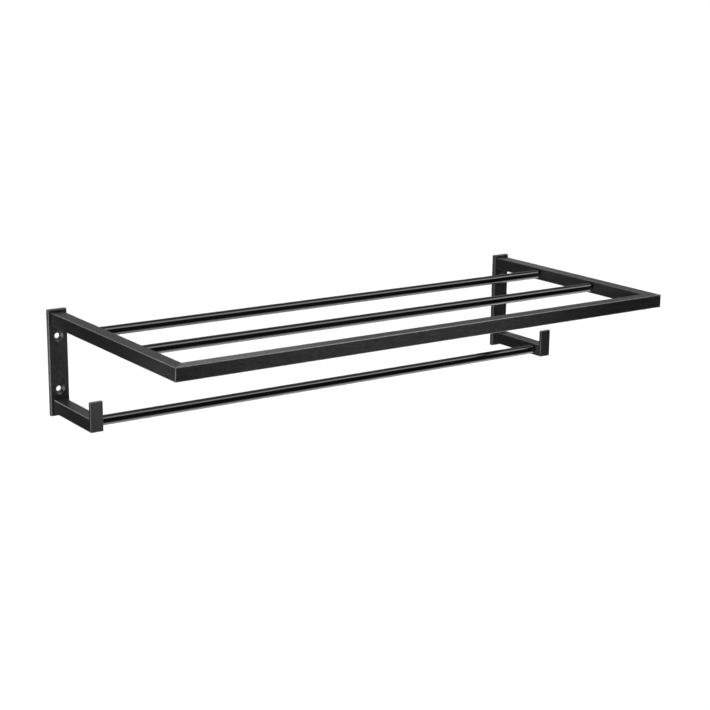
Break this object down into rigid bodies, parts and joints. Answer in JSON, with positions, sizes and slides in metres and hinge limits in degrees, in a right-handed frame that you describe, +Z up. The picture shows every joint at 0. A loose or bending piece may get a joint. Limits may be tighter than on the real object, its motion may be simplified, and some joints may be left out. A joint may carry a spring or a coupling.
{
  "type": "towel rack with shelf",
  "caption": "Wall-mounted towel rack: a U-shaped square-bar shelf frame with round rods, a towel rail on short arms below, and upturned hook plates on countersunk wall plates.",
  "frame": {"origin": "on the wall face, in the middle of the four screw holes", "axes": "+X along the rack to the right as seen from the room, +Y into the wall, +Z up"},
  "size_m": [0.6064, 0.268, 0.112],
  "materials": {
    "frame_black": "matt black powder coat with a fine texture",
    "rod_black": "smooth glossy black",
    "screw_steel": "black oxide"
  },
  "bodies": {
    "root": {"left_wall_plate": "frame_black", "right_wall_plate": "frame_black", "left_shelf_arm": "frame_black", "right_shelf_arm": "frame_black", "front_shelf_bar": "frame_black", "left_rail_arm": "frame_black", "right_rail_arm": "frame_black", "left_hook_plate": "frame_black", "right_hook_plate": "frame_black", "rear_shelf_rod": "rod_black", "front_shelf_rod": "rod_black", "towel_rail": "rod_black", "rod_grub_screws": "screw_steel"}
  },
  "joints": []
}
